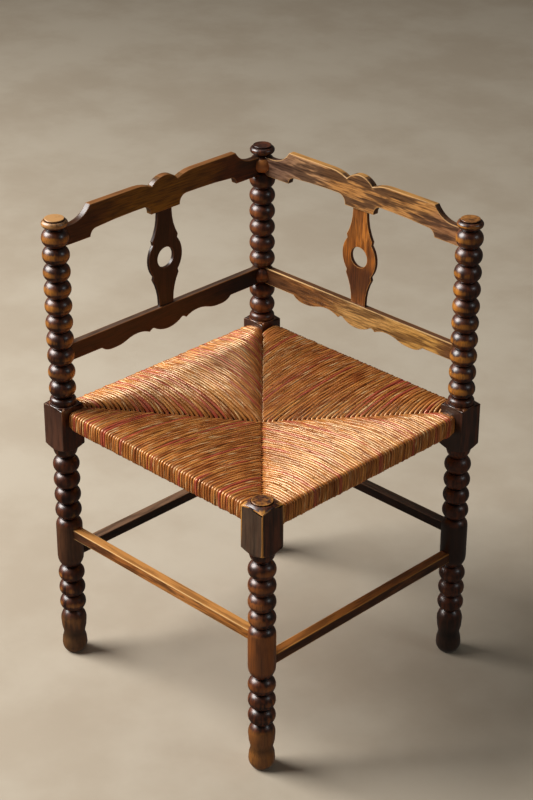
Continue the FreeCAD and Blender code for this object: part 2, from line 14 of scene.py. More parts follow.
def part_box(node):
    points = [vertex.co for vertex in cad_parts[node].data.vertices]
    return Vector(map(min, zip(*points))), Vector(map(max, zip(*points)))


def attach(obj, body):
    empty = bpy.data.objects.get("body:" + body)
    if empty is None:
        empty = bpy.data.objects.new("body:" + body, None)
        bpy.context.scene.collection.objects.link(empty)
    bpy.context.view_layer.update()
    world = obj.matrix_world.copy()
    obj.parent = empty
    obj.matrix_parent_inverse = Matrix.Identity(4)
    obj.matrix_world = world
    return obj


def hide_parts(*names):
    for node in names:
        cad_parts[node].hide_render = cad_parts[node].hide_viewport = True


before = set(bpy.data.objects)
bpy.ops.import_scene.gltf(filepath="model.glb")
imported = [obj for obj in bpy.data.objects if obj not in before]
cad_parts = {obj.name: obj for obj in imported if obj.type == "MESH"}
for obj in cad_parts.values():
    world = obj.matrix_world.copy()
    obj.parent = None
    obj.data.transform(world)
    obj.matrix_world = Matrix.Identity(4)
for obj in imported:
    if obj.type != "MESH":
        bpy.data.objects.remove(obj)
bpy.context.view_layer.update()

MM = 0.001
post_low, post_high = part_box("post_left")
AXIS = -(post_low.x + post_high.x) / 2
BLOCK = post_high.x - post_low.x
POST_TOP = post_high.z

TURNS = {"front_left": 0, "front_right": 1, "back_right": 2, "back_left": 3}
CORNERS = {"left": (-1, -1), "front": (1, -1), "right": (1, 1), "back": (-1, 1)}
ENDS = {
    "front_left": ("left", "front"),
    "front_right": ("front", "right"),
    "back_right": ("right", "back"),
    "back_left": ("back", "left"),
}


def linear(code):
    """An sRGB hex colour as linear red, green, blue and alpha."""
    channels = [int(code[i:i + 2], 16) / 255 for i in (1, 3, 5)]
    return [c / 12.92 if c <= 0.04045 else ((c + 0.055) / 1.055) ** 2.4 for c in channels] + [1.0]


def feed(tree, made, values):
    """Set a node's properties and inputs. A socket is linked, and a colour may be a hex code."""
    for name, value in values.items():
        if isinstance(name, str) and hasattr(made, name):
            setattr(made, name, value)
        elif isinstance(value, bpy.types.NodeSocket):
            tree.links.new(value, made.inputs[name])
        else:
            made.inputs[name].default_value = linear(value) if isinstance(value, str) else value


def node(tree, kind, values=None):
    made = tree.nodes.new(kind)
    feed(tree, made, values or {})
    return made


def new_material(name):
    material = bpy.data.materials.new(name)
    material.use_nodes = True
    tree = material.node_tree
    tree.nodes.clear()
    shader = tree.nodes.new("ShaderNodeBsdfPrincipled")
    node(tree, "ShaderNodeOutputMaterial", {"Surface": shader.outputs["BSDF"]})
    return material, tree, shader


def math_node(tree, operation, first, second):
    """One sum on two values, each a socket or a number."""
    return node(tree, "ShaderNodeMath", {"operation": operation, 0: first, 1: second}).outputs[0]


def ramp(tree, value, low, high):
    """0 where value is under low, 1 where it is over high, smooth between them."""
    return node(tree, "ShaderNodeMapRange", {
        "interpolation_type": "SMOOTHSTEP", "From Min": low, "From Max": high, "Value": value}).outputs[0]


def blend(tree, factor, first, second, kind="MIX"):
    """Mix two colours, each a hex code or a socket. The factor is a socket or a number."""
    return node(tree, "ShaderNodeMix", {
        "data_type": "RGBA", "blend_type": kind, 0: factor, 6: first, 7: second}).outputs[2]


def tones_along(tree, value, tones):
    """Colours at places between 0 and 1, with smooth changes between them."""
    made = node(tree, "ShaderNodeValToRGB", {"Fac": value})
    scale = made.color_ramp
    scale.interpolation = "EASE"
    while len(scale.elements) < len(tones):
        scale.elements.new(0.5)
    for element, (place, code) in zip(scale.elements, tones.items()):
        element.position = place
        element.color = linear(code)
    return made.outputs["Color"]


def attribute(tree, name):
    return node(tree, "ShaderNodeAttribute", {"attribute_name": name}).outputs["Fac"]


def laid(tree, colour, over, where, share, kind="MIX"):
    """The colour with another laid over it where a mark or a pattern stands, at most in this share."""
    return blend(tree, math_node(tree, "MULTIPLY", where, share), colour, over, kind)


def weighted(tree, *terms):
    """The sum of values, each times its weight."""
    total = None
    for value, weight in terms:
        part = math_node(tree, "MULTIPLY", value, weight)
        total = part if total is None else math_node(tree, "ADD", total, part)
    return total


def uneven(tree, value, *parts):
    """A value made ragged by noises, each with the swing that it adds both ways."""
    middle = sum(weight for _, weight in parts) / 2
    return math_node(tree, "SUBTRACT", weighted(tree, (value, 1.0), *parts), middle)


def noise(tree, vector, size, detail=3.0, roughness=0.55):
    """Noise whose lumps are about this many metres across."""
    return node(tree, "ShaderNodeTexNoise", {
        "Scale": 0.5 / size, "Detail": detail, "Roughness": roughness, "Vector": vector}).outputs["Fac"]


def stretched(tree, vector, factors):
    return node(tree, "ShaderNodeVectorMath", {"operation": "MULTIPLY", 0: vector, 1: factors}).outputs[0]


def grained(tree, place, grain, narrow, size, detail=3.0, roughness=0.55):
    """Noise drawn out along the grain: lumps of this size across it, and 1 / narrow times as long."""
    factors = [narrow if axis == grain else 1.0 for axis in "xyz"]
    return noise(tree, stretched(tree, place, factors), size, detail, roughness)


def bump(tree, strength, depth, height, under=None):
    """The normal of a surface that is rough to this depth, over another rough surface or a plain one."""
    values = {"Strength": strength, "Distance": depth, "Height": height}
    if under:
        values["Normal"] = under
    return node(tree, "ShaderNodeBump", values).outputs[0]


def figure(tree, place, grain):
    """Fine fibres, short streaks and broad patches, all drawn out along the grain."""
    fibre = grained(tree, place, grain, 0.07, 1.2 * MM, 4.0, 0.6)
    streak = grained(tree, place, grain, 0.09, 3.0 * MM)
    broad = grained(tree, place, grain, 0.25, 14 * MM)
    return fibre, streak, broad


def waxed(tree, shader, place, fibre, broad, polish, coat):
    """Old wax over close grain: a soft sheen that varies, tiny pores and shallow dents."""
    gloss = math_node(tree, "ADD", math_node(tree, "MULTIPLY", broad, 0.3), polish - 0.15)
    pores = bump(tree, 0.22, 0.2 * MM, fibre)
    dents = bump(tree, 0.2, 0.8 * MM, noise(tree, place, 9 * MM, 2.0, 0.4), pores)
    feed(tree, shader, {"Roughness": gloss, "Normal": dents, "IOR": 1.5,
                        "Coat Weight": coat, "Coat Roughness": 0.31})


SPLAT_SPAN = (0.566, 0.732)  # metres above the floor, between the two rails that hold a splat
LEGS_END = (0.38, 0.44)  # metres above the floor, where the wear of the legs turns to that of the backs


def board_wood(name, grain, tones, dark, streaks, upper, arris):
    """Beech board stained brown, waxed and worn: its tone changes along its length.

    The tones are given at shares of the length. Long dark streaks of old stain lie along the grain.
    The upper edge is rubbed by hands to its own lighter tone, the sawn edges keep their dark stain,
    which also stands in as painted shade on the flanks turned from the light, and the arrises are
    rubbed paler still.
    """
    material, tree, shader = new_material(name)
    place = node(tree, "ShaderNodeTexCoord").outputs["Object"]
    fibre, streak, broad = figure(tree, place, grain)
    along = node(tree, "ShaderNodeSeparateXYZ", {0: place}).outputs[grain.upper()]
    first, last = SPLAT_SPAN if grain == "z" else (-AXIS, AXIS)
    share = node(tree, "ShaderNodeMapRange", {"From Min": first, "From Max": last, "Value": along})
    share = uneven(tree, share.outputs[0], (broad, 0.3), (streak, 0.15))
    patch = grained(tree, place, grain, 0.17, 7 * MM, 3.0, 0.6)
    stain = ramp(tree, weighted(tree, (patch, 0.6), (streak, 0.4)), 0.45, 0.54)
    colour = laid(tree, tones_along(tree, share, tones), dark, stain, streaks)
    colour = laid(tree, colour, "#806a5c", ramp(tree, fibre, 0.42, 0.66), 0.75, "MULTIPLY")
    rubbed = laid(tree, upper, dark, ramp(tree, streak, 0.45, 0.62), 0.5)
    colour = blend(tree, attribute(tree, "upper"), colour, rubbed)
    sawn = attribute(tree, "thickness")
    # sawn edges darkened: dark stain, and painted shade for the flanks that the light misses
    colour = laid(tree, colour, dark, sawn, 0.75)
    edge = ramp(tree, uneven(tree, attribute(tree, "arris"), (broad, 1.4), (streak, 0.8)), 0.55, 1.0)
    bare = math_node(tree, "SUBTRACT", 0.8, math_node(tree, "MULTIPLY", sawn, 0.6))
    feed(tree, shader, {"Base Color": laid(tree, colour, arris, edge, bare)})
    waxed(tree, shader, place, fibre, broad, 0.36, 0.2)
    return material


def turned_wood(name, dark, mid, worn, pale, flat, plain, foot, wear, low_wear, arris, cap):
    """Turned beech, stained near black in its grooves and rubbed to gold where the beads stand out.

    The rubbed bands are ragged. wear is how far the backs are rubbed, low_wear the legs. The block's
    flats take the flat tone: dust with a painted sheen, weaker on the flat that faces +x, away from the
    key light. Its arrises and the cap are rubbed to the pale tone as far as arris and cap say. The plain
    length and the foot keep a more even tone.
    """
    material, tree, shader = new_material(name)
    place = node(tree, "ShaderNodeTexCoord").outputs["Object"]
    fibre, streak, broad = figure(tree, place, "z")
    cloud = noise(tree, place, 34 * MM, 2.0, 0.5)
    colour = blend(tree, ramp(tree, weighted(tree, (streak, 0.6), (broad, 0.4)), 0.4, 0.6), dark, mid)
    belly = attribute(tree, "belly")
    rubbed = uneven(tree, belly, (broad, 1.6), (streak, 1.3), (fibre, 1.0), (cloud, 1.8))
    height = node(tree, "ShaderNodeSeparateXYZ", {0: place}).outputs["Z"]
    legs = math_node(tree, "SUBTRACT", 1.0, ramp(tree, height, *LEGS_END))
    rubbed = weighted(tree, (rubbed, 1.0), (legs, low_wear - wear))
    rubbed = ramp(tree, rubbed, 0.55 - wear, 1.35 - wear)
    golden = blend(tree, ramp(tree, streak, 0.4, 0.62), worn, mid)
    golden = blend(tree, ramp(tree, broad, 0.35, 0.65), golden, worn)
    colour = blend(tree, rubbed, colour, golden)
    mottled = ramp(tree, weighted(tree, (cloud, 0.5), (broad, 0.5)), 0.38, 0.62)
    colour = laid(tree, colour, laid(tree, plain, dark, mottled, 0.55), attribute(tree, "plain"), 0.85)
    colour = laid(tree, colour, laid(tree, foot, dark, mottled, 0.4), attribute(tree, "foot"), 0.8)
    # the block's flats: a greyer tone of dust with painted sheen, weaker on the flat that faces +x away
    # from the key light
    dust_and_sheen = ramp(tree, uneven(tree, attribute(tree, "flat"), (broad, 1.2), (cloud, 1.2)), 0.1, 1.1)
    colour = laid(tree, colour, flat, dust_and_sheen, 0.8)
    colour = laid(tree, colour, "#7a6456", ramp(tree, fibre, 0.42, 0.66), 0.5, "MULTIPLY")
    colour = laid(tree, colour, "#0a0402", attribute(tree, "groove"), 0.88)
    marks = weighted(tree, (attribute(tree, "arris"), arris), (attribute(tree, "cap"), cap))
    edge = ramp(tree, uneven(tree, marks, (broad, 0.9), (streak, 0.7), (fibre, 0.6)), 0.3, 0.9)
    feed(tree, shader, {"Base Color": laid(tree, colour, pale, edge, 0.92)})
    waxed(tree, shader, place, fibre, broad, 0.38, 0.8)
    return material


def woven_rush(name):
    """Twisted rush cords: long satin leaves, golden, tan and brown, with a few rose-red ones.

    The leaves run along each cord in its twist, so the colours follow the cord's own UV map, which
    the cord's tint moves to a part of the pattern that no other cord has.
    """
    material, tree, shader = new_material(name)
    uv = node(tree, "ShaderNodeUVMap", {"uv_map": "cord"}).outputs[0]
    tint = attribute(tree, "cord_tint")
    shift = node(tree, "ShaderNodeCombineXYZ", {2: math_node(tree, "MULTIPLY", tint, 40.0)}).outputs[0]
    moved = node(tree, "ShaderNodeVectorMath", {"operation": "ADD", 0: uv, 1: shift}).outputs[0]

    def strands(around, along):
        return noise(tree, stretched(tree, moved, (around, along, 1.7)), 0.5, 2.0, 0.5)

    fibre = strands(14.0, 2.6)
    colour = blend(tree, ramp(tree, strands(5.0, 0.9), 0.34, 0.64), "#9a5024", "#e09048")
    colour = laid(tree, colour, "#e8a652", ramp(tree, tint, 0.2, 1.0), 0.45)
    colour = laid(tree, colour, "#c96a4c", ramp(tree, strands(4.2, 0.5), 0.59, 0.65), 0.35)
    # pale cream slivers: light bits of leaf, partly painted glints
    colour = laid(tree, colour, "#f6cd94", ramp(tree, strands(6.0, 2.6), 0.58, 0.68), 0.8)
    rosy = ramp(tree, strands(2.2, 0.35), 0.4, 0.48)
    rosy = math_node(tree, "MULTIPLY", ramp(tree, tint, 0.78, 0.84), rosy)
    colour = laid(tree, colour, "#c0423f", rosy, 0.8)
    colour = laid(tree, colour, "#562a10", ramp(tree, fibre, 0.48, 0.66), 0.5)
    # painted shade in the gaps between the cords and where their ends tuck into the seams
    colour = laid(tree, colour, "#241005", attribute(tree, "inner"), 0.88)
    gloss = math_node(tree, "ADD", math_node(tree, "MULTIPLY", strands(3.0, 3.0), 0.36), 0.1)
    folds = bump(tree, 0.65, 0.5 * MM, strands(4.0, 11.0))
    feed(tree, shader, {
        "Base Color": colour, "Roughness": gloss, "Normal": bump(tree, 0.4, 0.3 * MM, fibre, folds),
        "IOR": 1.5, "Specular IOR Level": 1.2, "Specular Tint": "#ffe0b0",
        "Coat Weight": 0.12, "Coat Roughness": 0.25})
    return material


def clouded(name, size, detail, low, high, dark, light, roughness):
    """A matt material of two near tones in clouds of this size."""
    material, tree, shader = new_material(name)
    place = node(tree, "ShaderNodeTexCoord").outputs["Object"]
    cloud = ramp(tree, noise(tree, place, size, detail, 0.6), low, high)
    feed(tree, shader, {"Base Color": blend(tree, cloud, dark, light), "Roughness": roughness})
    return material


# flat is the block flats' greyer tone: dust with painted sheen
POST_WOODS = {
    "left": turned_wood(
        "stained_beech_post_left", dark="#33150a", mid="#653014", worn="#c47d2a", pale="#d09c62",
        flat="#5e3c2c", plain="#6a4226", foot="#80582f", wear=0.14, low_wear=-0.45, arris=0.45, cap=0.95),
    "front": turned_wood(
        "stained_beech_post_front", dark="#35170a", mid="#6e3414", worn="#a65e20", pale="#e09a42",
        flat="#5c4a3a", plain="#b4641c", foot="#b3742f", wear=-0.05, low_wear=0.02, arris=1.0, cap=0.3),
    "right": turned_wood(
        "stained_beech_post_right", dark="#33150a", mid="#663014", worn="#cf862c", pale="#b87c3c",
        flat="#3d2b24", plain="#33201a", foot="#3a281c", wear=0.28, low_wear=-0.6, arris=0.45, cap=0.6),
    "back": turned_wood(
        "stained_beech_post_back", dark="#32150a", mid="#622f15", worn="#8f4f1c", pale="#ad6c34",
        flat="#4c342a", plain="#3c2418", foot="#4a3018", wear=0.0, low_wear=-0.2, arris=0.5, cap=0.1),
}
# grain, tones at shares of the length, dark stain and its share in streaks, upper edge, arrises
BOARDS = {
    "crest_right": (
        "x", {0.05: "#8e6c56", 0.27: "#ba8c60", 0.38: "#c48a4c", 0.74: "#cc9252", 0.9: "#a8764e"},
        "#40291f", 0.82, "#bd8849", "#cfa066"),
    "crest_left": (
        "y", {0.08: "#5a2c0c", 0.4: "#98660f", 0.6: "#9c680f", 0.85: "#6e3606", 0.98: "#22100a"},
        "#38200f", 0.35, "#8c5a30", "#a06a34"),
    "splat_right": (
        "z", {0.0: "#9a5a24", 0.16: "#6e3e1a", 0.34: "#6a3a18", 0.52: "#bd7028", 0.75: "#c87c30",
              1.0: "#b8702c"},
        "#532a16", 0.55, "#a8602c", "#d59a55"),
    "splat_left": (
        "z", {0.0: "#40200f", 0.5: "#4e2a1a", 1.0: "#4e2a1a"},
        "#1c0b05", 0.5, "#4a2614", "#8a5632"),
    "lower_right": (
        "x", {0.05: "#5a361c", 0.3: "#b3763a", 0.5: "#e4b26a", 0.85: "#e4ae5c", 0.97: "#9a6636"},
        "#5a381f", 0.72, "#6a452c", "#ecc084"),
    "lower_left": (
        "y", {0.1: "#45200c", 0.6: "#4a2410", 0.95: "#2a130a"},
        "#1a0b05", 0.4, "#5d4638", "#8f5c30"),
    "stretcher_x": (
        "x", {0.03: "#5e3a24", 0.16: "#7c4a26", 0.3: "#b26c2e", 0.6: "#c98442", 0.95: "#b8742f"},
        "#5a3216", 0.7, "#c98d4c", "#efc182"),
    "stretcher_y": (
        "y", {0.1: "#6b3c1a", 0.6: "#74431e", 0.95: "#5a3116"},
        "#341a0c", 0.6, "#a5672f", "#cf9148"),
    "back_stretcher_x": ("x", {0.1: "#2f170c", 0.9: "#3b1e10"}, "#170b06", 0.5, "#6d5440", "#7c5a40"),
    "back_stretcher_y": ("y", {0.1: "#3a2010", 0.9: "#3f2412"}, "#1c0f07", 0.5, "#7a5c46", "#7c5a40"),
}
BOARD_WOODS = {name: board_wood("stained_beech_" + name, *looks) for name, looks in BOARDS.items()}
SEAT_RAIL_WOOD = board_wood(
    "beech_seat_rail", "x", {0.0: "#8c5c31", 1.0: "#8c5c31"}, "#6d4423", 0.5, "#a87544", "#c79a66")
RUSH = woven_rush("twisted_rush_cord")
# loose broken stalks of rush packed inside the seat: dull brown, seen only between the cords
STUFFING = clouded("loose_rush", 4 * MM, 4.0, 0.4, 0.6, "#1c0d05", "#4a2a12", 0.9)
# a plain pale floor: matt, with a faint cloudiness like trowelled screed
FLOOR = clouded("pale_screed_floor", 0.16, 5.0, 0.35, 0.65, "#b7a995", "#c2b6a3", 0.75)


def deselect():
    if bpy.context.mode != "OBJECT":
        bpy.ops.object.mode_set(mode="OBJECT")
    bpy.ops.object.select_all(action="DESELECT")


def only(thing):
    deselect()
    thing.select_set(True)
    bpy.context.view_layer.objects.active = thing


def added(name, data):
    """A new object of the scene that holds this data."""
    thing = bpy.data.objects.new(name, data)
    bpy.context.scene.collection.objects.link(thing)
    return thing


def edit(thing, kind):
    only(thing)
    bpy.ops.object.mode_set(mode="EDIT")
    bpy.ops.mesh.select_mode(type=kind)


def single_point(name, place):
    """A new mesh of one vertex, to be drawn on from there."""
    deselect()
    bpy.ops.mesh.primitive_plane_add(size=1 * MM, location=(0, 0, 0))
    thing = bpy.context.active_object
    thing.name = name
    bpy.ops.object.mode_set(mode="EDIT")
    bpy.ops.mesh.select_mode(type="VERT")
    bpy.ops.mesh.merge(type="CENTER")
    bpy.ops.transform.translate(value=place)
    return thing


def face_outwards():
    """Select the whole mesh that is being edited and turn its faces outwards."""
    bpy.ops.mesh.select_all(action="SELECT")
    bpy.ops.mesh.normals_make_consistent(inside=False)


def cut_with(thing, tool, operation):
    """Cut a piece with another object, which is used up."""
    only(thing)
    cut = thing.modifiers.new("cut", "BOOLEAN")
    cut.operation = operation
    cut.solver = "EXACT"
    cut.object = tool
    bpy.ops.object.modifier_apply(modifier="cut")
    bpy.data.objects.remove(tool)


def draw_on(points):
    """Extrude the selected vertex through the points, as a pen would draw."""
    for start, end in zip(points, points[1:]):
        step = [b - a for a, b in zip(start, end)]
        bpy.ops.mesh.extrude_region_move(TRANSFORM_OT_translate={"value": step})


def arc_points(start, end, radius, step=9.0):
    """Points of the short arc from start to end. A positive radius turns left, a negative right."""
    sx, sy = start
    ex, ey = end
    chord = math.hypot(ex - sx, ey - sy)
    reach = math.copysign(math.sqrt(max(radius * radius - chord * chord / 4, 0.0)), radius)
    cx = (sx + ex) / 2 - (ey - sy) / chord * reach
    cy = (sy + ey) / 2 + (ex - sx) / chord * reach
    first = math.atan2(sy - cy, sx - cx)
    sweep = math.atan2(ey - cy, ex - cx) - first
    sweep = (sweep + math.pi) % math.tau - math.pi
    count = max(2, math.ceil(abs(math.degrees(sweep)) / step))
    return [(cx + abs(radius) * math.cos(first + sweep * i / count),
             cy + abs(radius) * math.sin(first + sweep * i / count)) for i in range(count)]


def arc_radius(run, height):
    """Radius of the arc that starts level and rises this much over this run."""
    return (run * run + height * height) / (2 * height)


def through(corners, closed=True, step=9.0):
    """Points of an outline in metres. Corners are in millimetres, with a radius where an arc leaves."""
    points = []
    for corner, following in zip(corners, corners[1:] + corners[:1] if closed else corners[1:]):
        start, end = [(x * MM, z * MM) for x, z, *_ in (corner, following)]
        points += arc_points(start, end, corner[2] * MM, step) if len(corner) == 3 else [start]
    return points if closed else points + [end]


def set_marks(thing, name, values, domain="POINT"):
    """Store one number on every vertex or face for the shaders to read."""
    marks = thing.data.attributes.new(name, "FLOAT", domain)
    marks.data.foreach_set("value", np.asarray(values, np.float32))


def finish_piece(thing, material, slot, *nodes, angle=35):
    """Smooth a finished piece, give it its material and put it in the chair."""
    only(thing)
    bpy.ops.object.shade_smooth_by_angle(angle=math.radians(angle))
    thing.data.materials.clear()
    thing.data.materials.append(material)
    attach(thing, "root")
    if nodes:
        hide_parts(*nodes)


def turn_to(thing, side):
    """Move a piece's mesh from the origin to its side of the chair. Its object stays at the origin."""
    turned = Matrix.Rotation(TURNS[side] * math.pi / 2, 4, "Z")
    thing.data.transform(turned @ Matrix.Translation((0, -AXIS, 0)))


# sizes of the turning, from the floor up, in millimetres
BASE = 14.5
BASE_EASE = 1.0
FOOT = 20.8
FOOT_WIDE = 16.0
FOOT_HEIGHT = 36.8
WAIST = 17.2
VASE = 21.2
VASE_WIDE = 27.1
VASE_HEIGHT = 45.2
PITCH = 28.36
NECK = 12.3
BEAD = 21.5
ANKLE_BEADS = 3
SHIN_BEADS = 4
BACK_BEADS = 10
PLAIN_LENGTH = 91.8
PLAIN_SHOULDER = 20.0
CUP = 20.0
CUP_HEIGHT = 17.0
SHOULDER = 9.4
SHOULDER_RISE = 7.7
BLOCK_LENGTH = 72.9
CROWN_DROP = 4.3
SEAT_BEAD = 21.1
SEAT_BEAD_FOOT = 19.4
SEAT_BEAD_WIDE = 3.2
SEAT_BEAD_HEIGHT = 10.0
CAP_NECK = 14.6
CAP_FOOT = 3.6
CAP_UNDER = 9.3
CAP_OVER = 5.3
CAP = 20.6
DISC = 15.3
DISC_FOOT = 1.5
DISC_HEIGHT = 3.1
BUTTON = 16.2
BUTTON_RISE = 2.9
BUTTON_HEIGHT = 2.1
VASE_TOP = FOOT_HEIGHT + VASE_HEIGHT
PLAIN_LOW = VASE_TOP + ANKLE_BEADS * PITCH
PLAIN_TOP = PLAIN_LOW + PLAIN_LENGTH
SHIN_TOP = PLAIN_TOP + SHIN_BEADS * PITCH
BLOCK_LOW = SHIN_TOP + CUP_HEIGHT + SHOULDER_RISE
BLOCK_TOP = BLOCK_LOW + BLOCK_LENGTH
BUTTON_LOW = BLOCK_TOP + BUTTON_RISE
SEAT_BEAD_MIDDLE = BLOCK_TOP + SEAT_BEAD_WIDE
BACK_LOW = BLOCK_TOP + SEAT_BEAD_HEIGHT
BACK_TOP = BACK_LOW + BACK_BEADS * PITCH
CAP_WIDE = BACK_TOP + CAP_UNDER
DISC_LOW = CAP_WIDE + CAP_OVER
BEAD_CURVE = arc_radius(PITCH / 2, BEAD - NECK)
HALF_BLOCK = BLOCK / MM / 2


def beads(low, count):
    return [(NECK, low + number * PITCH, BEAD_CURVE) for number in range(count)]


def disc_profile(low, height, radius):
    """The flat disc that ends a post: a groove round its foot, an eased edge and a flat top."""
    top = low + height
    return [
        (radius + DISC_FOOT, low),
        (radius - 1.0, low - 0.6),
        (radius - 0.4, low + 0.8),
        (radius, top - 0.9, 0.9),
        (radius - 0.9, top),
        (radius - 3.0, top),
        (0, top),
    ]


def post_profile(tall):
    """Radius and height up one post, with the block's place left wide for its square faces."""
    wide = HALF_BLOCK + SHOULDER
    lower = [
        (0, 0),
        (BASE - 1.1, 0),
        (BASE, BASE_EASE, arc_radius(FOOT_WIDE - BASE_EASE, FOOT - BASE)),
        (FOOT, FOOT_WIDE, arc_radius(FOOT_HEIGHT - FOOT_WIDE, FOOT - WAIST)),
        (WAIST, FOOT_HEIGHT, arc_radius(VASE_WIDE, VASE - WAIST)),
        (VASE, FOOT_HEIGHT + VASE_WIDE, arc_radius(VASE_HEIGHT - VASE_WIDE, VASE - NECK)),
    ] + beads(VASE_TOP, ANKLE_BEADS) + [
        (NECK, PLAIN_LOW, arc_radius(PLAIN_SHOULDER, BEAD - NECK)),
        (BEAD, PLAIN_LOW + PLAIN_SHOULDER),
        (BEAD, PLAIN_TOP - PITCH / 2, BEAD_CURVE),
    ] + beads(PLAIN_TOP, SHIN_BEADS) + [
        (NECK, SHIN_TOP, arc_radius(CUP_HEIGHT, CUP - NECK)),
        (CUP, SHIN_TOP + CUP_HEIGHT),
        (CUP + 0.6, SHIN_TOP + CUP_HEIGHT + 0.5),
        (wide, BLOCK_LOW - 1.0),
    ]
    if not tall:
        return lower + [(wide, BLOCK_TOP - 3.9)] + disc_profile(BUTTON_LOW, BUTTON_HEIGHT, BUTTON)
    return lower + [
        (wide, BLOCK_TOP - CROWN_DROP),
        (HALF_BLOCK + 0.2, BLOCK_TOP - 2.4),
        (HALF_BLOCK - 0.5, BLOCK_TOP - 1.7),
        (SEAT_BEAD_FOOT + 0.7, BLOCK_TOP - 1.6),
        (SEAT_BEAD_FOOT, BLOCK_TOP - 2.0, arc_radius(SEAT_BEAD_WIDE + 2.0, SEAT_BEAD - SEAT_BEAD_FOOT)),
        (SEAT_BEAD, SEAT_BEAD_MIDDLE, arc_radius(BACK_LOW - SEAT_BEAD_MIDDLE, SEAT_BEAD - NECK)),
    ] + beads(BACK_LOW, BACK_BEADS) + [
        (NECK, BACK_TOP),
        (CAP_NECK, BACK_TOP + CAP_FOOT, arc_radius(CAP_UNDER - CAP_FOOT, CAP - CAP_NECK)),
        (CAP, CAP_WIDE, arc_radius(CAP_OVER, CAP - DISC - DISC_FOOT)),
    ] + disc_profile(DISC_LOW, DISC_HEIGHT, DISC)


def turned_post(name, tall):
    """Draw the profile, spin it round the post's axis and cut the block square."""
    points = [(x, 0, z) for x, z in through(post_profile(tall), closed=False, step=13)]
    post = single_point(name, points[0])
    draw_on(points)
    bpy.ops.mesh.select_all(action="SELECT")
    bpy.ops.mesh.spin(steps=48, angle=math.tau, center=(0, 0, 0), axis=(0, 0, 1))
    bpy.ops.mesh.select_all(action="SELECT")
    bpy.ops.mesh.remove_doubles(threshold=0.02 * MM)
    face_outwards()
    deselect()
    bpy.ops.mesh.primitive_cube_add(size=1, location=(0, 0, POST_TOP / 2))
    square = bpy.context.active_object
    square.scale = (BLOCK, BLOCK, POST_TOP * 1.2)
    cut_with(post, square, "INTERSECT")
    ease_block(post, 1.6 if tall else 2.5)
    return post


def flat_block_faces(mesh):
    """The four square faces of the block, told by their size and by the way they look."""
    return [face for face in mesh.polygons
            if face.area > 500 * MM * MM and max(abs(face.normal.x), abs(face.normal.y)) > 0.999]


def crown_faces(mesh):
    """The faces that slope up from the block's four arcs to the foot of the turning above them."""
    return [face for face in mesh.polygons
            if math.hypot(*face.center.xy) / MM > BUTTON + 1.6 and face.normal.z > 0.9
            and BLOCK_TOP - 6 < face.center.z / MM < BUTTON_LOW]


def pick(thing, kind, chosen):
    """Open a mesh for editing with just these of its edges or faces selected."""
    edit(thing, kind)
    bpy.ops.mesh.select_all(action="DESELECT")
    bpy.ops.object.mode_set(mode="OBJECT")
    parts = thing.data.edges if kind == "EDGE" else thing.data.polygons
    for index in chosen:
        parts[index].select = True
    bpy.ops.object.mode_set(mode="EDIT")


def ease_block(post, fringe):
    """Round the block's arrises and mark where the stain is rubbed off them, over a fringe this wide."""
    rim = {key for face in flat_block_faces(post.data) for key in face.edge_keys}
    pick(post, "EDGE", [edge.index for edge in post.data.edges if edge.key in rim])
    bpy.ops.mesh.bevel(offset=1.0 * MM, segments=2, affect="EDGES", clamp_overlap=True)
    bpy.ops.object.mode_set(mode="OBJECT")
    crown = inset_faces(post, crown_faces(post.data), 1.3)
    inner = inset_faces(post, flat_block_faces(post.data), fringe)
    mark_turning(post, inner | crown)


def inset_faces(thing, faces, thickness):
    """Inset some faces as one region, and give the numbers of the vertices of what is left of them."""
    pick(thing, "FACE", [face.index for face in faces])
    bpy.ops.mesh.inset(thickness=thickness * MM, depth=0)
    bpy.ops.object.mode_set(mode="OBJECT")
    return {v for face in thing.data.polygons if face.select for v in face.vertices}


def rise(value, low, high):
    """0 under low, 1 over high, smooth between."""
    share = min(max((value - low) / (high - low), 0.0), 1.0)
    return share * share * (3 - 2 * share)


def facing(across, deep, sx=1, sy=-1):
    """How much a point of a post looks towards a corner of the chair: 1 straight at it, -1 away."""
    return (sx * across + sy * deep) / math.sqrt(2) / max(math.hypot(across, deep), 1.0)


FACE_PLANE = HALF_BLOCK - 1.05  # how far out the block's flats are, with a little play


def block_marks(across, deep, height, spared):
    """How bare a point of the block is, and how much of the flats' greyer tone, dust with painted sheen,
    it takes. Spared points lie inside the rubbed fringe.
    """
    front = facing(across, deep)
    if max(abs(across), abs(deep)) > FACE_PLANE:
        top = 0.95 if height > BLOCK_TOP - 14 else 0.25
        rubbed = 0.0 if spared else max(top, rise(front, 0.985, 0.999))
        # the +x flat, turned from the key light, takes less of the painted sheen
        return rubbed, 0.35 if across > FACE_PLANE and abs(deep) < FACE_PLANE else 1.0
    if spared:
        return 0.95 * rise(front, 0.82, 0.98), 0.0
    return 0.95 if height > BLOCK_TOP - 8 else 0.0, 0.0


